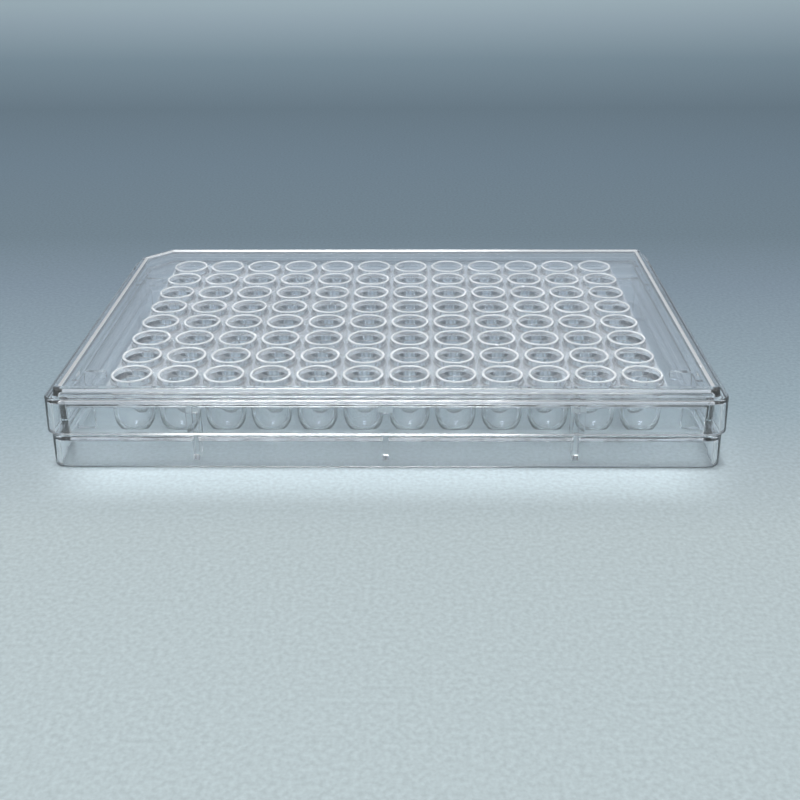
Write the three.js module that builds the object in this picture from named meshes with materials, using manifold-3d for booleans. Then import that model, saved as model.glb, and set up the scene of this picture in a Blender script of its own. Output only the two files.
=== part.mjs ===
// A 96-well microplate with round-bottomed wells, moulded in one piece, and the loose lid that lies on it.
// Millimetres, +Z up. The origin is the middle of the footprint, on the surface that the plate stands on.
// X runs along the columns and Y along the rows. The cut corner, which marks well A1, is at -X and +Y.
import * as THREE from "three";
import { mergeVertices } from "three/addons/utils/BufferGeometryUtils.js";
import Module from "manifold-3d";

const wasm = await Module();
wasm.setup();

// The grid of wells, and how far the footprint reaches past the middles of the outermost wells.
const columns = 12;
const rows = 8;
const pitch = 9;
const endMargin = 14.38;
const sideMargin = 11.24;

// One well: the mouth is the clear opening at the rim, and the throat is where the round bottom starts.
const mouthRadius = 3.45;
const throatRadius = 3.2;
const wellDepth = 10.7;
const rimWall = 0.55;
const rimStand = 1.4;
const shankRadius = 4;
const heelRadius = 3.85;
const heelRise = 2.3;
const wellFloor = 1;
const wellSides = 8;

// The plate: a flange at the bottom, a ledge, a narrower upper wall, and the deck that carries the wells.
const flangeHeight = 6.5;
const deckHeight = 12.9;
const flangeDraft = 0.22;
const ledgeWidth = 2.38;
const flangeWall = 1.2;
const upperWall = 1.2;
const ledgeThickness = 1.1;
const ledgeFillet = 0.9;
const deckThickness = 1.1;
const edgeChamfer = 0.5;
const plateCorner = 3.2;
const smallestCorner = 0.5;
const cornerCut = 7.2;
const cornerSteps = 4;
const filletSteps = 2;

// Upright ribs inside the plate's walls, placed in pitches from the middle of each side. A rib and its tail
// under the deck are measured from the inner face of the upper wall.
const longSideRibs = [-4, 0, 4];
const shortSideRibs = [-3, 3];
const ribThickness = 1.1;
const ribLength = 1.32;
const ribFootClearance = 1.3;
const ribTailLength = 4.42;
const ribTailDepth = 1.5;

// Outside, each rib carries on as a guide that centres the lid, and as a pad that the lid rests on.
const guideWidth = 2.8;
const guideStand = 0.9;
const guideTopDrop = 0.6;
const padHeight = 0.7;
const padWidth = 1.2;

// The lid: a skirt that leans out towards the bottom, a shoulder, and a panel raised above the rims.
const lidClearance = 0.4;
const lidDraft = 0.3;
const lidWall = 1.2;
const lidPanel = 1;
const rimHeadroom = 0.7;
const shoulderWidth = 1.7;
const shoulderThickness = 1.1;
const deckHeadroom = 0.4;
const riserWall = 1;
const lidCorner = 3;

// How the clear plastic looks in a plain viewer.
const plasticRoughness = 0.05;
const plasticOpacity = 0.35;

// Corners nearer than this are one corner, and a cutter runs this far past the face that it opens.
const weldDistance = 1e-4;
const overshoot = 1;

// Everything above is a driving size. What follows from them:
const plateHalfLength = ((columns - 1) * pitch) / 2 + endMargin;
const plateHalfWidth = ((rows - 1) * pitch) / 2 + sideMargin;
const rimTop = deckHeight + rimStand;
const lidSeat = flangeHeight + padHeight;
const lidInset = ledgeWidth - guideStand - lidClearance;
const shoulderTop = deckHeight + deckHeadroom + shoulderThickness;
const lidTop = rimTop + rimHeadroom + lidPanel;
const wallInside = ledgeWidth + upperWall;

// A closed three.js geometry as a solid: corners that meet are shared, and triangles with no area go.
function solidFrom(geometry) {
  const bare = new THREE.BufferGeometry();
  bare.setAttribute("position", geometry.getAttribute("position"));
  bare.setIndex(geometry.getIndex());
  const merged = mergeVertices(bare, weldDistance);
  const corners = Array.from(merged.getIndex().array);
  const kept = [];
  for (let i = 0; i < corners.length; i += 3) {
    const [a, b, c] = corners.slice(i, i + 3);
    if (a !== b && b !== c && c !== a) kept.push(a, b, c);
  }
  return new wasm.Manifold(
    new wasm.Mesh({
      numProp: 3,
      vertProperties: merged.getAttribute("position").array,
      triVerts: new Uint32Array(kept),
    }),
  );
}

// A solid as a named mesh with its own material.
function meshFrom(solid, name, material) {
  const made = solid.getMesh();
  const geometry = new THREE.BufferGeometry();
  geometry.setAttribute("position", new THREE.BufferAttribute(made.vertProperties, 3));
  geometry.setIndex(new THREE.BufferAttribute(made.triVerts, 1));
  geometry.computeVertexNormals();
  const mesh = new THREE.Mesh(geometry, material);
  mesh.name = name;
  return mesh;
}

// The footprint moved inwards by inset, with round corners and the A1 corner cut off, anticlockwise.
// A cut corner parallel to itself gets shorter by (2 - root 2) for each millimetre of inset.
function footprint(inset, cornerRadius) {
  const x = plateHalfLength - inset;
  const y = plateHalfWidth - inset;
  const cut = cornerCut - inset * (2 - Math.SQRT2);
  const corners = [
    new THREE.Vector2(-x, -y),
    new THREE.Vector2(x, -y),
    new THREE.Vector2(x, y),
    new THREE.Vector2(-x + cut, y),
    new THREE.Vector2(-x, y - cut),
  ];
  return roundCorners(corners, Math.max(cornerRadius - inset, smallestCorner));
}

// Each corner of a polygon replaced by an arc that is tangent to both of its sides.
function roundCorners(corners, radius) {
  const points = [];
  corners.forEach((corner, i) => {
    const before = corners.at(i - 1).clone().sub(corner).normalize();
    const after = corners[(i + 1) % corners.length].clone().sub(corner).normalize();
    const half = before.angleTo(after) / 2;
    const toCentre = before.clone().add(after).normalize();
    const centre = corner.clone().addScaledVector(toCentre, radius / Math.sin(half));
    const start = before.clone().multiplyScalar(radius / Math.tan(half)).add(corner).sub(centre);
    const sweep = Math.PI - 2 * half;
    for (let k = 0; k <= cornerSteps; k++) {
      const turned = start.clone().rotateAround(new THREE.Vector2(), (sweep * k) / cornerSteps);
      points.push(turned.add(centre));
    }
  });
  return points;
}

// A closed solid through level sections from the bottom up, each { z, points } with as many points.
function loft(sections) {
  const count = sections[0].points.length;
  const positions = sections.flatMap(({ z, points }) => points.flatMap((p) => [p.x, p.y, z]));
  const index = [];
  for (let ring = 0; ring < sections.length - 1; ring++) {
    for (let i = 0; i < count; i++) {
      const a = ring * count + i;
      const b = ring * count + ((i + 1) % count);
      index.push(a, b, b + count, a, b + count, a + count);
    }
  }
  const top = (sections.length - 1) * count;
  for (const [a, b, c] of THREE.ShapeUtils.triangulateShape(sections[0].points, [])) {
    index.push(a, c, b);
  }
  for (const [a, b, c] of THREE.ShapeUtils.triangulateShape(sections.at(-1).points, [])) {
    index.push(top + a, top + b, top + c);
  }
  const geometry = new THREE.BufferGeometry();
  geometry.setAttribute("position", new THREE.Float32BufferAttribute(positions, 3));
  geometry.setIndex(index);
  return solidFrom(geometry);
}

// A profile of [radius, height] pairs turned about the Z axis, with flat sides facing along X and Y.
// The corners stand out a little, so that the many-sided ring holds what the round one does.
function turned(profile) {
  const step = (2 * Math.PI) / wellSides;
  const sameArea = Math.sqrt(step / Math.sin(step));
  const points = profile.map(([radius, height]) => new THREE.Vector2(radius * sameArea, height));
  const geometry = new THREE.LatheGeometry(points, wellSides, step / 2);
  geometry.rotateX(Math.PI / 2);
  return solidFrom(geometry);
}

// The hollow fillet that leads from the ledge up into the upper wall, as level sections.
function ledgeFilletSections() {
  const sections = [];
  for (let k = 0; k <= filletSteps; k++) {
    const angle = ((Math.PI / 2) * k) / filletSteps;
    const z = flangeHeight + ledgeFillet * (1 - Math.cos(angle));
    const inset = ledgeWidth - ledgeFillet * (1 - Math.sin(angle));
    sections.push({ z, points: footprint(inset, plateCorner) });
  }
  return sections;
}

// The flange, ledge, upper wall and deck, hollow from below.
function plateShell() {
  const outside = loft([
    { z: 0, points: footprint(0, plateCorner) },
    { z: flangeHeight, points: footprint(flangeDraft, plateCorner) },
    ...ledgeFilletSections(),
    { z: deckHeight - edgeChamfer, points: footprint(ledgeWidth, plateCorner) },
    { z: deckHeight, points: footprint(ledgeWidth + edgeChamfer, plateCorner) },
  ]);
  const inside = loft([
    { z: -overshoot, points: footprint(flangeWall, plateCorner) },
    { z: flangeHeight - ledgeThickness, points: footprint(flangeWall + flangeDraft, plateCorner) },
    { z: flangeHeight - ledgeThickness, points: footprint(wallInside, plateCorner) },
    { z: deckHeight - deckThickness, points: footprint(wallInside, plateCorner) },
  ]);
  return outside.subtract(inside);
}

// The outside of one well: a rim above the deck, and a shank and a rounded heel below it.
function wellBody() {
  const heel = rimTop - wellDepth - wellFloor;
  return turned([
    [0, heel],
    [heelRadius, heel + heelRise],
    [shankRadius, deckHeight - deckThickness],
    [mouthRadius + rimWall, deckHeight],
    [mouthRadius + rimWall, rimTop],
    [0, rimTop],
  ]);
}

// The space inside one well: a slightly tapered bore that ends in a round bottom.
function wellBore() {
  const bottom = rimTop - wellDepth;
  const taperRise = (mouthRadius - throatRadius) / (wellDepth - throatRadius);
  const halfwayUp = Math.PI / 4;
  return turned([
    [0, bottom],
    [throatRadius * Math.sin(halfwayUp), bottom + throatRadius * (1 - Math.cos(halfwayUp))],
    [throatRadius, bottom + throatRadius],
    [mouthRadius + taperRise * overshoot, rimTop + overshoot],
    [0, rimTop + overshoot],
  ]);
}

// Copies of a solid at every well of the grid, as one solid.
function atEveryWell(solid) {
  let all = null;
  for (let column = 0; column < columns; column++) {
    for (let row = 0; row < rows; row++) {
      const x = (column - (columns - 1) / 2) * pitch;
      const y = (row - (rows - 1) / 2) * pitch;
      const copy = solid.translate([x, y, 0]);
      all = all ? all.add(copy) : copy;
    }
  }
  return all;
}

// A profile in X and Z, where X is the depth in from the footprint's edge, made thickness wide about Y = 0.
function ribFrom(outline, thickness) {
  const shape = new THREE.Shape(outline.map(([depth, height]) => new THREE.Vector2(depth, height)));
  const geometry = new THREE.ExtrudeGeometry(shape, { depth: thickness, bevelEnabled: false });
  geometry.translate(0, 0, -thickness / 2);
  geometry.rotateX(Math.PI / 2);
  return solidFrom(geometry);
}

// The rib inside a wall: deep beside the wall, and a shallow tail under the deck towards the wells.
function innerRib() {
  const buried = flangeWall / 2;
  const ledgeUnderside = flangeHeight - ledgeThickness / 2;
  const wallMiddle = ledgeWidth + upperWall / 2;
  const deckMiddle = deckHeight - deckThickness / 2;
  const ribEnd = wallInside + ribLength;
  const tailEnd = wallInside + ribTailLength;
  const tailUnderside = deckHeight - deckThickness - ribTailDepth;
  return ribFrom(
    [
      [buried + flangeDraft, ribFootClearance],
      [ribEnd, ribFootClearance],
      [ribEnd, tailUnderside],
      [tailEnd, tailUnderside],
      [tailEnd, deckMiddle],
      [wallMiddle, deckMiddle],
      [wallMiddle, ledgeUnderside],
      [buried + flangeDraft, ledgeUnderside],
    ],
    ribThickness,
  );
}

// The guide on the upper wall, with a sloping top that leads the lid on.
function lidGuide() {
  const face = ledgeWidth - guideStand;
  const top = deckHeight - guideTopDrop;
  const root = ledgeWidth + upperWall / 2;
  return ribFrom(
    [
      [face, flangeHeight - ledgeThickness / 2],
      [root, flangeHeight - ledgeThickness / 2],
      [root, top],
      [ledgeWidth, top],
      [face, top - guideStand],
    ],
    guideWidth,
  );
}

// The pad on the ledge that carries the lid's skirt.
function lidPad() {
  const sunk = flangeHeight - ledgeThickness / 2;
  return ribFrom(
    [
      [flangeDraft, flangeHeight],
      [flangeDraft + ledgeThickness / 2, sunk],
      [ledgeWidth + upperWall / 2, sunk],
      [ledgeWidth + upperWall / 2, lidSeat],
      [flangeDraft, lidSeat],
    ],
    padWidth,
  );
}

// A rib set made for the wall at -X, copied to its places on all four walls.
function onEveryWall(solid) {
  const places = [];
  for (const along of shortSideRibs) {
    places.push(solid.translate([-plateHalfLength, along * pitch, 0]));
    places.push(solid.rotate([0, 0, 180]).translate([plateHalfLength, along * pitch, 0]));
  }
  for (const along of longSideRibs) {
    places.push(solid.rotate([0, 0, 90]).translate([along * pitch, -plateHalfWidth, 0]));
    places.push(solid.rotate([0, 0, -90]).translate([along * pitch, plateHalfWidth, 0]));
  }
  return places.reduce((all, place) => all.add(place));
}

function plate() {
  const ribs = onEveryWall(innerRib().add(lidGuide()).add(lidPad()));
  return plateShell().add(ribs).add(atEveryWell(wellBody())).subtract(atEveryWell(wellBore()));
}

// The lid's skirt clears the guides, its shoulder clears the deck, and its panel clears the rims.
// The clearance is met at the top of the skirt, and the draft adds to it lower down.
function lid() {
  const skirtOutside = lidInset - lidWall;
  const panelOutside = skirtOutside + shoulderWidth;
  const outside = loft([
    { z: lidSeat, points: footprint(skirtOutside - lidDraft, lidCorner) },
    { z: shoulderTop - edgeChamfer, points: footprint(skirtOutside, lidCorner) },
    { z: shoulderTop, points: footprint(skirtOutside + edgeChamfer, lidCorner) },
    { z: shoulderTop, points: footprint(panelOutside, lidCorner) },
    { z: lidTop - edgeChamfer, points: footprint(panelOutside, lidCorner) },
    { z: lidTop, points: footprint(panelOutside + edgeChamfer, lidCorner) },
  ]);
  const inside = loft([
    { z: lidSeat - overshoot, points: footprint(lidInset - lidDraft, lidCorner) },
    { z: lidSeat, points: footprint(lidInset - lidDraft, lidCorner) },
    { z: shoulderTop - shoulderThickness, points: footprint(lidInset, lidCorner) },
    { z: shoulderTop - shoulderThickness, points: footprint(panelOutside + riserWall, lidCorner) },
    { z: lidTop - lidPanel, points: footprint(panelOutside + riserWall, lidCorner) },
  ]);
  return outside.subtract(inside);
}

// Clear polystyrene, as moulded.
function clearPlastic(name, colour) {
  const material = new THREE.MeshStandardMaterial({ color: colour, metalness: 0 });
  material.name = name;
  material.roughness = plasticRoughness;
  material.transparent = true;
  material.opacity = plasticOpacity;
  return material;
}

const wellPlate = new THREE.Group();
wellPlate.add(meshFrom(plate(), "plate", clearPlastic("plate_polystyrene", 0xdce6ea)));
wellPlate.add(meshFrom(lid(), "lid", clearPlastic("lid_polystyrene", 0xe4edf0)));

export default wellPlate;
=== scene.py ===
import math
import bmesh
import bpy
from mathutils import Matrix, Vector


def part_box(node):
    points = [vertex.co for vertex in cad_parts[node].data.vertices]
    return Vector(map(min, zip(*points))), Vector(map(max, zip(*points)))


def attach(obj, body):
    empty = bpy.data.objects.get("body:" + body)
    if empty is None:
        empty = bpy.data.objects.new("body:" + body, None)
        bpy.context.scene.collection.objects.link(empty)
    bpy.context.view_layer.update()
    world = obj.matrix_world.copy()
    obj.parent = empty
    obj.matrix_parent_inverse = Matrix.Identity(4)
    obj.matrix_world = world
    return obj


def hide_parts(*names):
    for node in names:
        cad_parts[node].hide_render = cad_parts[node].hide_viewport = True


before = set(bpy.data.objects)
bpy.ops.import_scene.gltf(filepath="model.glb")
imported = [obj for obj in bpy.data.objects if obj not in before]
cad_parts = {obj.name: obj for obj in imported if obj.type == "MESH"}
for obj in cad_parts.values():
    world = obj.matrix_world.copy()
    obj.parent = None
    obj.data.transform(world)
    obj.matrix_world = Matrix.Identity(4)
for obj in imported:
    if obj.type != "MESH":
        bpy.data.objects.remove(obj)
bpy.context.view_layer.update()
plateLow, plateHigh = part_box("plate")
lidLow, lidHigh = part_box("lid")
mm = 0.001  # every size below is in millimetres
print("frame loaded")


def toLinear(code):  # "#rrggbb" as seen on a screen, to the linear colour that shaders work in
    parts = [int(code[i:i + 2], 16) / 255 for i in (1, 3, 5)]
    return tuple(c / 12.92 if c <= 0.04045 else ((c + 0.055) / 1.055) ** 2.4 for c in parts) + (1.0,)


def addNode(tree, kind, settings=None, **inputs):
    # one node; settings are its properties, and each input is a value or the socket that feeds it
    node = tree.nodes.new(kind)
    for name, value in (settings or {}).items():
        setattr(node, name, value)
    for name, value in inputs.items():
        key = int(name[2:]) if name.startswith("at") else name.replace("_", " ")
        if isinstance(value, bpy.types.NodeSocket):
            tree.links.new(value, node.inputs[key])
        else:
            node.inputs[key].default_value = value
    return node


def roundedPath(corners, stepAngle=30):
    # a polyline of (across, up, radius) corners, each with a radius drawn as an arc
    points = []
    for i, (a, b, radius) in enumerate(corners):
        here = Vector((a, b))
        if radius == 0 or i in (0, len(corners) - 1):
            points.append(here)
            continue
        before = (Vector(corners[i - 1][:2]) - here).normalized()
        after = (Vector(corners[i + 1][:2]) - here).normalized()
        half = before.angle(after) / 2
        centre = here + (before + after).normalized() * (radius / math.sin(half))
        start = here + before * (radius / math.tan(half)) - centre
        sweep = math.pi - 2 * half
        side = 1 if before.cross(after) < 0 else -1
        steps = max(1, math.ceil(math.degrees(sweep) / stepAngle - 0.01))
        for k in range(steps + 1):
            points.append(centre + Matrix.Rotation(side * sweep * k / steps, 2) @ start)
    return points


def footprintLoop(halfX, halfY, inset, radius, cut, steps=7, smallestTurn=0.4):
    # the footprint moved in by inset, anticlockwise, with round corners and the first well's corner cut off
    x, y = halfX - inset, halfY - inset
    cut = cut - inset * (2 - math.sqrt(2))
    corners = [(-x, -y), (x, -y), (x, y), (-x + cut, y), (-x, y - cut)]
    loop = []
    for i, corner in enumerate(corners):
        around = [corners[i - 1], corner, corners[(i + 1) % 5]]
        loop += roundedPath([(*p, max(radius - inset, smallestTurn)) for p in around], 90 / steps)[1:-1]
    return loop


def addRing(bm, points, z):
    return [bm.verts.new((p[0] * mm, p[1] * mm, z * mm)) for p in points]


def bridge(bm, below, above, closed=True):
    count = len(below)
    for i in range(count if closed else count - 1):
        j = (i + 1) % count
        bm.faces.new((below[i], below[j], above[j], above[i]))


def meshObject(name, bm):
    mesh = bpy.data.meshes.new(name)
    bm.to_mesh(mesh)
    bm.free()
    made = bpy.data.objects.new(name, mesh)
    bpy.context.scene.collection.objects.link(made)
    return made


def plainMesh(obj):  # what the modifiers make of an object, as its only mesh
    evaluated = obj.evaluated_get(bpy.context.evaluated_depsgraph_get())
    mesh = bpy.data.meshes.new_from_object(evaluated)
    obj.modifiers.clear()
    old = obj.data
    obj.data = mesh
    bpy.data.meshes.remove(old)
    mesh.name = obj.name
    return obj


def finishShading(obj, sharpAngle=38, weight=60):
    # flat faces stay flat and the small fillets between them take up the whole turn
    obj.data.shade_smooth()
    obj.data.set_sharp_from_angle(angle=math.radians(sharpAngle))
    weigh = obj.modifiers.new("weighNormals", "WEIGHTED_NORMAL")
    weigh.mode = "FACE_AREA"
    weigh.keep_sharp = True
    weigh.weight = weight
    return plainMesh(obj)


plasticSizes = dict(colour="#fdfeff", refraction=1.59, waveStrength=0.25, waveDistortion=0.6,
                    smearWidth=6.0, smearRange=(0.45, 0.75))


def polystyrene(name, s):
    # clear general-purpose polystyrene, injection moulded: glassy, very slightly wavy where the melt
    # flowed, and with the little haze that lets its edges gather light. Where the tool is textured
    # the same plastic is less clear and rougher.
    material = bpy.data.materials.new(name)
    material.use_nodes = True
    tree = material.node_tree
    tree.nodes.clear()
    place = addNode(tree, "ShaderNodeTexCoord").outputs["Object"]
    flow = addNode(tree, "ShaderNodeTexNoise", Vector=place, Scale=1 / (s["waveWidth"] * mm),
                   Detail=2.0, Roughness=0.4, Distortion=plasticSizes["waveDistortion"])
    smear = addNode(tree, "ShaderNodeTexNoise", Vector=place, Scale=1 / (plasticSizes["smearWidth"] * mm),
                    Detail=4.0, Roughness=0.6)
    clean, smeared = plasticSizes["smearRange"]
    smooth, rough = s["roughness"]
    finish = addNode(tree, "ShaderNodeMapRange", Value=smear.outputs["Fac"], at1=clean, at2=smeared,
                     at3=smooth, at4=rough)
    waves = addNode(tree, "ShaderNodeBump", Strength=plasticSizes["waveStrength"],
                    Distance=s["waveDepth"] * mm, Height=flow.outputs["Fac"])
    shader = addNode(tree, "ShaderNodeBsdfPrincipled", Base_Color=toLinear(plasticSizes["colour"]),
                     Roughness=finish.outputs["Result"], Normal=waves.outputs["Normal"])
    shader.inputs["IOR"].default_value = plasticSizes["refraction"]
    shader.inputs["Transmission Weight"].default_value = s["clarity"]
    # part of a lamp's light goes straight on through the plastic to what stands behind it
    shadowRay = addNode(tree, "ShaderNodeLightPath").outputs["Is Shadow Ray"]
    share = addNode(tree, "ShaderNodeMath", {"operation": "MULTIPLY"}, at0=shadowRay,
                    at1=s["lightThrough"])
    clear = addNode(tree, "ShaderNodeBsdfTransparent")
    both = addNode(tree, "ShaderNodeMixShader", at0=share.outputs[0], at1=shader.outputs["BSDF"],
                   at2=clear.outputs["BSDF"])
    addNode(tree, "ShaderNodeOutputMaterial", Surface=both.outputs["Shader"])
    return material


# what each face of the tool leaves: the wave's width and depth are in millimetres
plateFinish = dict(clarity=0.996, roughness=(0.012, 0.05), waveWidth=14.0, waveDepth=0.02, lightThrough=0.35)
deckFinish = dict(clarity=0.87, roughness=(0.05, 0.1), waveWidth=1.6, waveDepth=0.14, lightThrough=0.4)
rimFinish = dict(clarity=0.45, roughness=(0.15, 0.3), waveWidth=3.0, waveDepth=0.05, lightThrough=0.6)
lidFinish = dict(clarity=0.99, roughness=(0.01, 0.045), waveWidth=14.0, waveDepth=0.03, lightThrough=0.95)
platePlastic = polystyrene("platePolystyrene", plateFinish)
deckPlastic = polystyrene("deckPolystyrene", deckFinish)
rimPlastic = polystyrene("rimPolystyrene", rimFinish)
lidPlastic = polystyrene("lidPolystyrene", lidFinish)
print("materials made")


plateSizes = dict(
    columns=12, rows=8, pitch=9.0,
    mouthRadius=3.45, throatRadius=3.2, wellDepth=10.7, rimWall=0.55, rimStand=1.4,
    shankRadius=4.05, heelRadius=3.95, wellFloor=1.0, wellSides=32,
    flangeHeight=6.5, flangeDraft=0.22, ledgeWidth=2.38, wall=1.2, deckThickness=1.1,
    ledgeThickness=1.1, ledgeFillet=0.9, corner=3.2, cornerCut=7.2,
    edgeRound=0.45, innerRound=0.25, rimRound=0.26, footRound=0.22, bottomRound=0.2, hollowRound=0.4,
    deckLip=1.4, boreSteps=6, heelSteps=5, weldGap=0.002, finishGap=0.05,
)


def plateSection(s, deckTop):
    # the wall's outline from the deck's edge, down outside, and up inside to the underside of the deck
    under = deckTop - s["deckThickness"]
    wallInset = s["ledgeWidth"]
    ledgeUnder = s["flangeHeight"] - s["ledgeThickness"]
    return roundedPath([
        (wallInset + s["deckLip"], deckTop, 0),
        (wallInset, deckTop, s["edgeRound"]),
        (wallInset, s["flangeHeight"], s["ledgeFillet"]),
        (s["flangeDraft"], s["flangeHeight"], s["edgeRound"]),
        (0, 0, s["bottomRound"]),
        (s["wall"], 0, s["bottomRound"]),
        (s["wall"] + s["flangeDraft"], ledgeUnder, s["hollowRound"]),
        (wallInset + s["wall"], ledgeUnder, s["innerRound"]),
        (wallInset + s["wall"], under, s["hollowRound"]),
        (wallInset + s["wall"] + s["deckLip"], under, 0),
    ])


def blockEdge(s):
    # the corners that the outermost well tiles leave round the whole grid, anticlockwise
    halfX, halfY = s["columns"] * s["pitch"] / 2, s["rows"] * s["pitch"] / 2
    perSide = s["wellSides"] // 4
    ticks = [s["pitch"] / 2 * math.tan(math.radians(45) * (2 * k / perSide - 1)) for k in range(perSide)]
    alongX = [(c + 0.5) * s["pitch"] - halfX + t for c in range(s["columns"]) for t in ticks]
    alongY = [(r + 0.5) * s["pitch"] - halfY + t for r in range(s["rows"]) for t in ticks]
    return ([(x, -halfY) for x in alongX] + [(halfX, y) for y in alongY]
            + [(-x, halfY) for x in alongX] + [(-halfX, -y) for y in alongY])


def fillBetween(bm, outer, inner, up):
    # flat triangles from an outer loop to a loop inside it, each time taking the shorter way across
    start = min(range(len(inner)), key=lambda j: (inner[j].co - outer[0].co).length)
    inner = inner[start:] + inner[:start]
    i = j = 0
    while i < len(outer) or j < len(inner):
        a, b = outer[i % len(outer)], inner[j % len(inner)]
        nextA, nextB = outer[(i + 1) % len(outer)], inner[(j + 1) % len(inner)]
        shorter = (nextA.co - b.co).length < (nextB.co - a.co).length
        if j == len(inner) or (i < len(outer) and shorter):
            corners, i = (a, nextA, b), i + 1
        else:
            corners, j = (a, nextB, b), j + 1
        bm.faces.new(corners if up else corners[::-1])


def plateSurround(s, deckTop, halfX, halfY):
    # skirt, ledge, upper wall and the deck's margin, left open where the wells' tiles go
    bm = bmesh.new()
    rings = []
    for inset, z in plateSection(s, deckTop):
        rings.append(addRing(bm, footprintLoop(halfX, halfY, inset, s["corner"], s["cornerCut"]), z))
    for above, below in zip(rings, rings[1:]):
        bridge(bm, below, above)
    edge = blockEdge(s)
    fillBetween(bm, rings[0], addRing(bm, edge, deckTop), True)
    fillBetween(bm, rings[-1], addRing(bm, edge, deckTop - s["deckThickness"]), False)
    return meshObject("plateSurround", bm)


def quarterTurn(steps):  # the angles between, but not at, the two ends of a quarter turn
    return [math.radians(90) * k / steps for k in range(1, steps)]


def wellTile(s, deckTop):
    # one pitch square of deck with its well: the top skin with rim and bore, and the skin below
    sides = s["wellSides"]
    angles = [math.radians(360) * k / sides for k in range(sides)]
    square = []
    for a in angles:
        reach = s["pitch"] / 2 / max(abs(math.cos(a)), abs(math.sin(a)))
        square.append((reach * math.cos(a), reach * math.sin(a)))
    rimTop = deckTop + s["rimStand"]
    floor = rimTop - s["wellDepth"]
    rimOuter = s["mouthRadius"] + s["rimWall"]
    throat, heel = s["throatRadius"], s["heelRadius"]
    bore = roundedPath([
        (rimOuter + s["footRound"], deckTop, 0),
        (rimOuter, deckTop, s["footRound"]),
        (rimOuter, rimTop, s["rimRound"]),
        (s["mouthRadius"], rimTop, s["rimRound"]),
        (throat, floor + throat, 0),
    ], 45)[1:]
    bore += [Vector((throat * math.cos(t), floor + throat * (1 - math.sin(t))))
             for t in quarterTurn(s["boreSteps"])]
    under = deckTop - s["deckThickness"]
    heelBottom = floor - s["wellFloor"]
    shank = roundedPath([
        (s["shankRadius"] + s["footRound"], under, 0),
        (s["shankRadius"], under, s["footRound"]),
        (heel, heelBottom + heel, 0),
    ], 45)[1:]
    shank += [Vector((heel * math.cos(t), heelBottom + heel * (1 - math.sin(t))))
              for t in quarterTurn(s["heelSteps"])]
    bm = bmesh.new()
    for skin, z, pole, up in ((bore, deckTop, floor, True), (shank, under, heelBottom, False)):
        rings = [addRing(bm, square, z)]
        for radius, height in skin:
            rings.append(addRing(bm, [(radius * math.cos(a), radius * math.sin(a)) for a in angles], height))
        for outer, inner in zip(rings, rings[1:]):
            bridge(bm, *((outer, inner) if up else (inner, outer)))
        tip = bm.verts.new((0, 0, pole * mm))
        last = rings[-1]
        for i in range(sides):
            corner = (last[i], last[(i + 1) % sides], tip)
            bm.faces.new(corner if up else corner[::-1])
    return meshObject("wellTile", bm)


def gridOfTiles(columns, rows, pitch):
    # Geometry Nodes: the surround, joined by a copy of the tile at every point of the grid
    tree = bpy.data.node_groups.new("wellGrid", "GeometryNodeTree")
    sockets = tree.interface
    sockets.new_socket("Geometry", in_out="INPUT", socket_type="NodeSocketGeometry")
    sockets.new_socket("Columns", in_out="INPUT", socket_type="NodeSocketInt").default_value = columns
    sockets.new_socket("Rows", in_out="INPUT", socket_type="NodeSocketInt").default_value = rows
    sockets.new_socket("Pitch", in_out="INPUT", socket_type="NodeSocketFloat").default_value = pitch
    sockets.new_socket("Tile", in_out="INPUT", socket_type="NodeSocketObject")
    sockets.new_socket("Plastic", in_out="INPUT", socket_type="NodeSocketMaterial")
    sockets.new_socket("Geometry", in_out="OUTPUT", socket_type="NodeSocketGeometry")
    given = addNode(tree, "NodeGroupInput").outputs
    sizes = []
    for count in ("Columns", "Rows"):
        gaps = addNode(tree, "ShaderNodeMath", {"operation": "SUBTRACT"}, at0=given[count], at1=1.0)
        span = addNode(tree, "ShaderNodeMath", {"operation": "MULTIPLY"}, at0=gaps.outputs[0],
                       at1=given["Pitch"])
        sizes.append(span.outputs[0])
    grid = addNode(tree, "GeometryNodeMeshGrid", Size_X=sizes[0], Size_Y=sizes[1],
                   Vertices_X=given["Columns"], Vertices_Y=given["Rows"])
    tile = addNode(tree, "GeometryNodeObjectInfo", Object=given["Tile"])
    copies = addNode(tree, "GeometryNodeInstanceOnPoints", Points=grid.outputs["Mesh"],
                     Instance=tile.outputs["Geometry"])
    joined = addNode(tree, "GeometryNodeJoinGeometry", Geometry=copies.outputs["Instances"])
    tree.links.new(given["Geometry"], joined.inputs["Geometry"])
    real = addNode(tree, "GeometryNodeRealizeInstances", Geometry=joined.outputs["Geometry"])
    coated = addNode(tree, "GeometryNodeSetMaterial", Geometry=real.outputs["Geometry"],
                     Material=given["Plastic"])
    addNode(tree, "NodeGroupOutput", Geometry=coated.outputs["Geometry"])
    return tree


def setInputs(modifier, **values):  # a modifier's inputs are set by their sockets' identifiers
    for item in modifier.node_group.interface.items_tree:
        if item.item_type == "SOCKET" and item.in_out == "INPUT" and item.name in values:
            modifier[item.identifier] = values[item.name]


ribSizes = dict(
    longSide=(-4, 0, 4), shortSide=(-3, 3),
    thickness=1.1, length=1.32, foot=1.3, tailLength=4.42, tailDepth=1.5,
    guideWidth=2.8, guideStand=0.9, guideTopDrop=0.6, padWidth=1.2, padHeight=0.7, padInset=0.12,
    padSink=0.3, endRound=0.3, tailRound=0.4, padRound=0.15,
)


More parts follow.
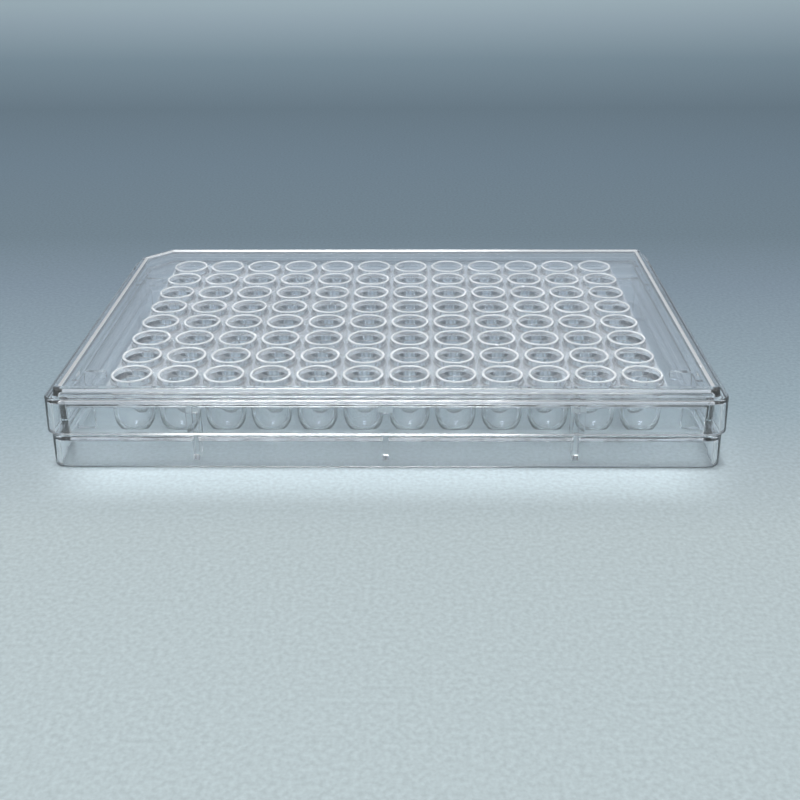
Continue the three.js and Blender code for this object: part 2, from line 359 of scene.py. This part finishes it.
def ribOutlines(s, r, deckTop):
    # outlines in (depth from the footprint's edge, height), each with its width
    ledgeTop = s["flangeHeight"]
    sunk = ledgeTop - s["ledgeThickness"] / 2
    root = s["ledgeWidth"] + s["wall"] / 2
    deckMiddle = deckTop - s["deckThickness"] / 2
    tailUnder = deckTop - s["deckThickness"] - r["tailDepth"]
    buried = s["wall"] / 2 + s["flangeDraft"]
    face = s["ledgeWidth"] - r["guideStand"]
    top = deckTop - r["guideTopDrop"]
    edge = s["flangeDraft"] + r["padInset"]
    wallInside = s["ledgeWidth"] + s["wall"]
    ribEnd = wallInside + r["length"]
    tailEnd = wallInside + r["tailLength"]
    web = [(buried, r["foot"], 0), (ribEnd, r["foot"], r["endRound"]),
           (ribEnd, tailUnder, r["tailRound"]), (tailEnd, tailUnder, r["endRound"]),
           (tailEnd, deckMiddle, 0), (root, deckMiddle, 0), (root, sunk, 0), (buried, sunk, 0)]
    guide = [(face, sunk, 0), (root, sunk, 0), (root, top, 0), (s["ledgeWidth"], top, 0),
             (face, top - r["guideStand"], r["endRound"])]
    padTop = ledgeTop + r["padHeight"]
    pad = [(edge, ledgeTop - r["padSink"], 0), (buried, sunk, 0), (root, sunk, 0), (root, padTop, 0),
           (edge, padTop, r["padRound"])]
    return (web, r["thickness"]), (guide, r["guideWidth"]), (pad, r["padWidth"])


def ribStrip(name, outline, width):
    # the outline made solid about Y = 0, reaching in along +X
    closed = [outline[-1], *outline, outline[0]]
    loop = roundedPath(closed, 30)[1:-1]
    bm = bmesh.new()
    near = [bm.verts.new((a * mm, -width / 2 * mm, z * mm)) for a, z in loop]
    far = [bm.verts.new((a * mm, width / 2 * mm, z * mm)) for a, z in loop]
    bridge(bm, near, far)
    bm.faces.new(near[::-1])
    bm.faces.new(far)
    bmesh.ops.recalc_face_normals(bm, faces=bm.faces)
    return meshObject(name, bm)


def ribPlaces(s, r, halfX, halfY):
    # a point at the foot of every rib, each with the turn that faces it inwards
    spots = []
    for n in r["shortSide"]:
        spots += [((-halfX, n * s["pitch"]), 0), ((halfX, n * s["pitch"]), 180)]
    for n in r["longSide"]:
        spots += [((n * s["pitch"], -halfY), 90), ((n * s["pitch"], halfY), -90)]
    bm = bmesh.new()
    for (x, y), _ in spots:
        bm.verts.new((x * mm, y * mm, 0))
    places = meshObject("ribPlaces", bm)
    turns = places.data.attributes.new("turn", "FLOAT", "POINT")
    turns.data.foreach_set("value", [math.radians(turn) for _, turn in spots])
    return places


def copiesAtPlaces():
    # Geometry Nodes: a copy of the rib at every point, turned by that point's own angle
    tree = bpy.data.node_groups.new("ribCopies", "GeometryNodeTree")
    sockets = tree.interface
    sockets.new_socket("Geometry", in_out="INPUT", socket_type="NodeSocketGeometry")
    sockets.new_socket("Rib", in_out="INPUT", socket_type="NodeSocketObject")
    sockets.new_socket("Plastic", in_out="INPUT", socket_type="NodeSocketMaterial")
    sockets.new_socket("Geometry", in_out="OUTPUT", socket_type="NodeSocketGeometry")
    given = addNode(tree, "NodeGroupInput").outputs
    turn = addNode(tree, "GeometryNodeInputNamedAttribute", {"data_type": "FLOAT"}, Name="turn")
    angles = addNode(tree, "ShaderNodeCombineXYZ", Z=turn.outputs["Attribute"])
    rib = addNode(tree, "GeometryNodeObjectInfo", Object=given["Rib"])
    copies = addNode(tree, "GeometryNodeInstanceOnPoints", Points=given["Geometry"],
                     Instance=rib.outputs["Geometry"], Rotation=angles.outputs[0])
    real = addNode(tree, "GeometryNodeRealizeInstances", Geometry=copies.outputs["Instances"])
    coated = addNode(tree, "GeometryNodeSetMaterial", Geometry=real.outputs["Geometry"],
                     Material=given["Plastic"])
    addNode(tree, "NodeGroupOutput", Geometry=coated.outputs["Geometry"])
    return tree


def wellFinishes(mesh, s, deckTop):
    # the rims and the deck between them come off textured faces of the tool, and the rest off polished ones
    pitch = s["pitch"] * mm
    reach = Vector((s["columns"], s["rows"])) * pitch / 2
    rimOuter = (s["mouthRadius"] + s["rimWall"]) * mm
    rimTop = (deckTop + s["rimStand"]) * mm
    under = (deckTop - s["deckThickness"]) * mm
    gap = s["finishGap"] * mm
    finishes = [platePlastic, deckPlastic, rimPlastic]
    for finish in finishes:
        mesh.materials.append(finish)
    for face in mesh.polygons:
        x, y, z = face.center
        if abs(x) > reach.x or abs(y) > reach.y:
            continue
        across = math.hypot((x + reach.x) % pitch - pitch / 2, (y + reach.y) % pitch - pitch / 2)
        outside = across > rimOuter - s["rimWall"] * mm / 2
        if z > rimTop - s["rimRound"] * mm:
            face.material_index = finishes.index(rimPlastic)
        elif outside and (z > deckTop * mm - gap or abs(z - under) < gap):
            face.material_index = finishes.index(deckPlastic)


def buildPlate():
    s, r = plateSizes, ribSizes
    halfX, halfY = plateHigh[0] / mm, plateHigh[1] / mm
    deckTop = plateHigh[2] / mm - s["rimStand"]
    body = plateSurround(s, deckTop, halfX, halfY)
    tile = wellTile(s, deckTop)
    grid = body.modifiers.new("wells", "NODES")
    grid.node_group = gridOfTiles(s["columns"], s["rows"], s["pitch"] * mm)
    setInputs(grid, Columns=s["columns"], Rows=s["rows"], Pitch=s["pitch"] * mm, Tile=tile,
              Plastic=platePlastic)
    plainMesh(body)
    bm = bmesh.new()
    bm.from_mesh(body.data)
    bmesh.ops.remove_doubles(bm, verts=bm.verts, dist=s["weldGap"] * mm)
    openEdges = sum(1 for e in bm.edges if not e.is_manifold)
    bm.to_mesh(body.data)
    bm.free()
    print("plate skin:", len(body.data.polygons), "faces,", openEdges, "open edges")
    copies = copiesAtPlaces()
    for number, (outline, width) in enumerate(ribOutlines(s, r, deckTop)):
        strip = ribStrip(f"ribStrip{number}", outline, width)
        places = ribPlaces(s, r, halfX, halfY)
        spread = places.modifiers.new("ribs", "NODES")
        spread.node_group = copies
        setInputs(spread, Rib=strip, Plastic=platePlastic)
        plainMesh(places)
        weld = body.modifiers.new("weldRibs", "BOOLEAN")
        weld.operation = "UNION"
        weld.solver = "MANIFOLD"
        weld.object = places
        plainMesh(body)
        for spare in (strip, places):
            bpy.data.objects.remove(spare)
    bpy.data.objects.remove(tile)
    body.name = "plateMoulding"
    body.data.name = "plateMoulding"
    body.data.materials.clear()
    wellFinishes(body.data, s, deckTop)
    return finishShading(body)


plateMoulding = buildPlate()
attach(plateMoulding, "root")
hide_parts("plate")
print("plate made:", len(plateMoulding.data.polygons), "faces")


lidSizes = dict(
    wall=1.2, panel=1.0, shoulderWidth=1.7, shoulderThickness=1.1, shoulderDrop=1.6, riser=1.0,
    draft=0.3, corner=3.0, cornerCut=7.2, edgeRound=0.45, panelRound=0.6, innerRound=0.3,
    underRound=0.8, beadHeight=0.3, beadWidth=1.1, beadSlope=0.42,
    beadRound=0.1, footRound=0.2, panelLip=1.5,
)


def lidSection(s, bottom, top, foot):
    # from the middle of the panel's top, out and down the skirt to its foot, and back under the panel
    shoulder = top - s["shoulderDrop"]
    outside = foot + s["draft"]
    inner = outside + s["wall"]
    panelEdge = outside + s["shoulderWidth"]
    shoulderUnder = shoulder - s["shoulderThickness"]
    under = top - s["panel"]
    beadEdge = panelEdge + s["beadWidth"]  # a low bead runs round the panel, for stacking
    return roundedPath([
        (beadEdge + s["panelLip"], top - s["beadHeight"], 0),
        (beadEdge + s["beadSlope"], top - s["beadHeight"], s["beadRound"]),
        (beadEdge, top, s["beadRound"]),
        (panelEdge, top, s["panelRound"]),
        (panelEdge, shoulder, s["innerRound"]),
        (outside, shoulder, s["edgeRound"]),
        (foot, bottom, s["footRound"]),
        (foot + s["wall"], bottom, s["footRound"]),
        (inner, shoulderUnder, s["innerRound"]),
        (panelEdge + s["riser"], shoulderUnder, s["innerRound"]),
        (panelEdge + s["riser"], under, s["underRound"]),
        (panelEdge + s["riser"] + s["panelLip"], under, 0),
    ])


def beadFinish(mesh, s, top):
    # the bead's inner slope comes off a textured face of the tool, so it shows as a pale line
    finishes = [lidPlastic, rimPlastic]
    for finish in finishes:
        mesh.materials.append(finish)
    for face in mesh.polygons:
        inwards = face.normal.x * face.center.x + face.normal.y * face.center.y < 0
        if inwards and (top - s["beadHeight"]) * mm < face.center.z < top * mm:
            face.material_index = finishes.index(rimPlastic)


def buildLid():
    s = lidSizes
    halfX, halfY = plateHigh[0] / mm, plateHigh[1] / mm
    foot = halfX - lidHigh[0] / mm  # negative, because the lid is a little wider than the plate
    bm = bmesh.new()
    rings = []
    for inset, z in lidSection(s, lidLow[2] / mm, lidHigh[2] / mm, foot):
        rings.append(addRing(bm, footprintLoop(halfX, halfY, inset, s["corner"], s["cornerCut"]), z))
    for above, below in zip(rings, rings[1:]):
        bridge(bm, below, above)
    bm.faces.new(rings[0])
    bm.faces.new(rings[-1][::-1])
    lid = meshObject("lidMoulding", bm)
    beadFinish(lid.data, s, lidHigh[2] / mm)
    return finishShading(lid)


lidMoulding = buildLid()
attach(lidMoulding, "root")
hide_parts("lid")
print("lid made:", len(lidMoulding.data.polygons), "faces")


# painted shade: the paper's colours run from its front to its back, and each stands at a part of that way;
# they darken further back and lighten again far behind, painted in for how the lamp's light falls
stageSizes = dict(
    reach=2600.0, front=-150.0, back=750.0, roughness=0.85,
    grain=0.8, grainDepth=0.1, grainStrength=0.3, grainRange=(0.3, 0.7), grainTone=(0.9, 1.1),
    # where and how strongly a painted pool of light lifts the paper's colour in front of the plate
    paintedLightHalf=(50.0, 67.0), paintedLightFront=(-47.0, -58.0), paintedLightBack=(-44.0, -40.0), paintedLightStrength=0.45,
    paleSides=(450.0, 900.0), paleFront=(-400.0, -850.0), paleGround="#c6d2d6",
    paperToneWithPaintedShade=[(0.0, "#bbc8cb"), (0.095, "#b3bfc2"), (0.12, "#a6b3b9"), (0.147, "#94a5ae"),
             (0.23, "#788895"), (0.28, "#677883"), (0.38, "#637582"), (0.5, "#5d6f7b"),
             (0.66, "#788c98"), (0.87, "#a7bac5"), (1.0, "#bdd1da")],
)


def seenDirectly(tree):
    # 1 for what the camera sees, itself or in glossy and clear plastic, and 0 once light has left
    # a dull surface, so that the background's colour adds no light to the object
    path = addNode(tree, "ShaderNodeLightPath")
    glassy = addNode(tree, "ShaderNodeMath", {"operation": "MAXIMUM"}, at0=path.outputs["Is Glossy Ray"],
                     at1=path.outputs["Is Transmission Ray"])
    direct = addNode(tree, "ShaderNodeMath", {"operation": "MAXIMUM"}, at0=glassy.outputs[0],
                     at1=path.outputs["Is Camera Ray"])
    first = addNode(tree, "ShaderNodeMath", {"operation": "LESS_THAN"}, at0=path.outputs["Diffuse Depth"],
                    at1=0.5)
    shown = addNode(tree, "ShaderNodeMath", {"operation": "MULTIPLY"}, at0=direct.outputs[0],
                    at1=first.outputs[0])
    return shown.outputs[0]


def paperSweep(s):
    # smooth uncoated paper with a fine grain; its paleness near the front and darkness further back are
    # painted light and shade from the lamp
    material = bpy.data.materials.new("stagePaper")
    material.use_nodes = True
    tree = material.node_tree
    tree.nodes.clear()
    place = addNode(tree, "ShaderNodeTexCoord").outputs["Object"]
    parts = addNode(tree, "ShaderNodeSeparateXYZ", Vector=place)
    depth = addNode(tree, "ShaderNodeMapRange", Value=parts.outputs["Y"], at1=s["front"] * mm,
                    at2=s["back"] * mm)
    # the ramp paints the lamp's fall-off into the paper's colour as shade
    ramp = addNode(tree, "ShaderNodeValToRGB", Fac=depth.outputs["Result"])
    for i, (at, code) in enumerate(s["paperToneWithPaintedShade"]):
        stop = ramp.color_ramp.elements[i] if i < 2 else ramp.color_ramp.elements.new(at)
        stop.position = at
        stop.color = toLinear(code)
    grain = addNode(tree, "ShaderNodeTexNoise", Vector=place, Scale=1 / (s["grain"] * mm), Detail=3.0)
    low, high = s["grainRange"]
    dark, pale = s["grainTone"]
    tone = addNode(tree, "ShaderNodeMapRange", Value=grain.outputs["Fac"], at1=low, at2=high,
                   at3=dark, at4=pale)
    grained = addNode(tree, "ShaderNodeVectorMath", {"operation": "SCALE"}, Vector=ramp.outputs["Color"],
                      Scale=tone.outputs["Result"])
    # painted light: a soft pale band is painted on to the paper at the plate's foot, standing in for the
    # light that the plate's front wall throws there
    side = addNode(tree, "ShaderNodeMath", {"operation": "ABSOLUTE"}, at0=parts.outputs["X"])
    paintedLight = s["paintedLightStrength"]
    for value, (full, none) in ((side.outputs[0], s["paintedLightHalf"]), (parts.outputs["Y"], s["paintedLightFront"]),
                                (parts.outputs["Y"], s["paintedLightBack"])):
        edge = addNode(tree, "ShaderNodeMapRange", {"interpolation_type": "SMOOTHSTEP"}, Value=value,
                       at1=none * mm, at2=full * mm)
        paintedLight = addNode(tree, "ShaderNodeMath", {"operation": "MULTIPLY"}, at0=paintedLight,
                       at1=edge.outputs["Result"]).outputs[0]
    paintedLightScale = addNode(tree, "ShaderNodeMath", {"operation": "ADD"}, at0=paintedLight, at1=1.0)
    colour = addNode(tree, "ShaderNodeVectorMath", {"operation": "SCALE"}, Vector=grained.outputs["Vector"],
                     Scale=paintedLightScale.outputs[0])
    tooth = addNode(tree, "ShaderNodeBump", Strength=s["grainStrength"],
                    Distance=s["grainDepth"] * mm, Height=grain.outputs["Fac"])
    shader = addNode(tree, "ShaderNodeBsdfPrincipled", Base_Color=colour.outputs["Vector"],
                     Roughness=s["roughness"], Normal=tooth.outputs["Normal"])
    # far to the sides and the front, out of the lamp's reach, a pale ground is seen instead
    ends = []
    for value, (near, far) in ((side.outputs[0], s["paleSides"]), (parts.outputs["Y"], s["paleFront"])):
        away = addNode(tree, "ShaderNodeMapRange", Value=value, at1=near * mm, at2=far * mm)
        ends.append(away.outputs["Result"])
    farOut = addNode(tree, "ShaderNodeMath", {"operation": "MAXIMUM"}, at0=ends[0], at1=ends[1])
    share = addNode(tree, "ShaderNodeMath", {"operation": "MULTIPLY"}, at0=farOut.outputs[0],
                    at1=seenDirectly(tree))
    ground = addNode(tree, "ShaderNodeEmission", Color=toLinear(s["paleGround"]), Strength=1.0)
    both = addNode(tree, "ShaderNodeMixShader", at0=share.outputs[0], at1=shader.outputs["BSDF"],
                   at2=ground.outputs["Emission"])
    addNode(tree, "ShaderNodeOutputMaterial", Surface=both.outputs["Shader"])
    return material


def buildFloor(s):
    half = s["reach"] * mm
    bm = bmesh.new()
    corners = [bm.verts.new((x * half, y * half, 0)) for x, y in ((-1, -1), (1, -1), (1, 1), (-1, 1))]
    bm.faces.new(corners)
    floor = meshObject("stageFloor", bm)
    floor.data.materials.append(paperSweep(s))
    return floor


floor = buildFloor(stageSizes)


def fadeEnds(lamp, s):
    # a softbox is brightest in its middle and falls away towards both ends
    lamp.use_nodes = True
    tree = lamp.node_tree
    tree.nodes.clear()
    across = addNode(tree, "ShaderNodeSeparateXYZ",
                     Vector=addNode(tree, "ShaderNodeNewGeometry").outputs["Parametric"])
    offset = addNode(tree, "ShaderNodeMath", {"operation": "SUBTRACT"}, at0=across.outputs["Y"], at1=0.5)
    distance = addNode(tree, "ShaderNodeMath", {"operation": "ABSOLUTE"}, at0=offset.outputs[0])
    fade = addNode(tree, "ShaderNodeMapRange", {"interpolation_type": "SMOOTHSTEP"},
                   Value=distance.outputs[0], at1=s["core"], at2=0.5, at3=s["peak"], at4=0.0)
    glow = addNode(tree, "ShaderNodeEmission", Strength=fade.outputs["Result"])
    addNode(tree, "ShaderNodeOutputLight", Surface=glow.outputs["Emission"])


def addLamp(name, s):
    # an area lamp that faces the middle of the bench
    data = bpy.data.lights.new(name, "AREA")
    data.shape = "RECTANGLE"
    data.size, data.size_y = (side * mm for side in s["size"])
    data.energy = s["power"]
    fadeEnds(data, s)
    lamp = bpy.data.objects.new(name, data)
    lamp.location = Vector(s["place"]) * mm
    lamp.rotation_euler = (-lamp.location).to_track_quat("-Z", "Y").to_euler()
    bpy.context.scene.collection.objects.link(lamp)


roomSizes = dict(front="#f6fcff", back="#aebbc7", turn=(-0.6, 0.9), light="#f4fbff", lightStrength=0.3)


def buildWorld(s):
    # soft room light, and for what is seen in the glossy plastic a pale room that is dimmer behind
    world = bpy.data.worlds.new("softRoom")
    world.use_nodes = True
    tree = world.node_tree
    tree.nodes.clear()
    way = addNode(tree, "ShaderNodeTexCoord").outputs["Generated"]
    parts = addNode(tree, "ShaderNodeSeparateXYZ", Vector=way)
    depth = addNode(tree, "ShaderNodeMapRange", Value=parts.outputs["Y"], at1=s["turn"][0],
                    at2=s["turn"][1])
    ramp = addNode(tree, "ShaderNodeValToRGB", Fac=depth.outputs["Result"])
    for stop, code in zip(ramp.color_ramp.elements, (s["front"], s["back"])):
        stop.color = toLinear(code)
    seen = addNode(tree, "ShaderNodeBackground", Color=ramp.outputs["Color"], Strength=1.0)
    light = addNode(tree, "ShaderNodeBackground", Color=toLinear(s["light"]),
                    Strength=s["lightStrength"])
    both = addNode(tree, "ShaderNodeMixShader", at0=seenDirectly(tree), at1=light.outputs["Background"],
                   at2=seen.outputs["Background"])
    addNode(tree, "ShaderNodeOutputWorld", Surface=both.outputs["Shader"])
    bpy.context.scene.world = world


lampSizes = dict(place=(-75.0, 0.0, 1000.0), size=(290.0, 490.0), power=6.4, core=0.05, peak=2.2)
addLamp("overheadSoftbox", lampSizes)
buildWorld(roomSizes)


cameraSizes = dict(lens=48.83, place=(5.46, -222.42, 102.72), pitch=26.154, yaw=-0.848, roll=0.317)


def buildCamera(s):
    data = bpy.data.cameras.new("view")
    data.sensor_width = 36.0
    data.lens = s["lens"]
    data.clip_start, data.clip_end = 0.01, 20.0
    camera = bpy.data.objects.new("view", data)
    turn = Matrix.Rotation(math.radians(-s["yaw"]), 4, "Z")
    tip = Matrix.Rotation(math.radians(90 - s["pitch"]), 4, "X")
    lean = Matrix.Rotation(math.radians(-s["roll"]), 4, "Z")
    camera.matrix_world = Matrix.Translation(Vector(s["place"]) * mm) @ turn @ tip @ lean
    bpy.context.scene.collection.objects.link(camera)
    bpy.context.scene.camera = camera


buildCamera(cameraSizes)
scene = bpy.context.scene
scene.view_settings.view_transform = "Standard"
bounces = 24  # light crosses many skins of plastic before it reaches the paper
scene.cycles.max_bounces = bounces
scene.cycles.transmission_bounces = bounces
scene.cycles.transparent_max_bounces = bounces
scene.cycles.use_denoising = True
print("stage, light and camera set")
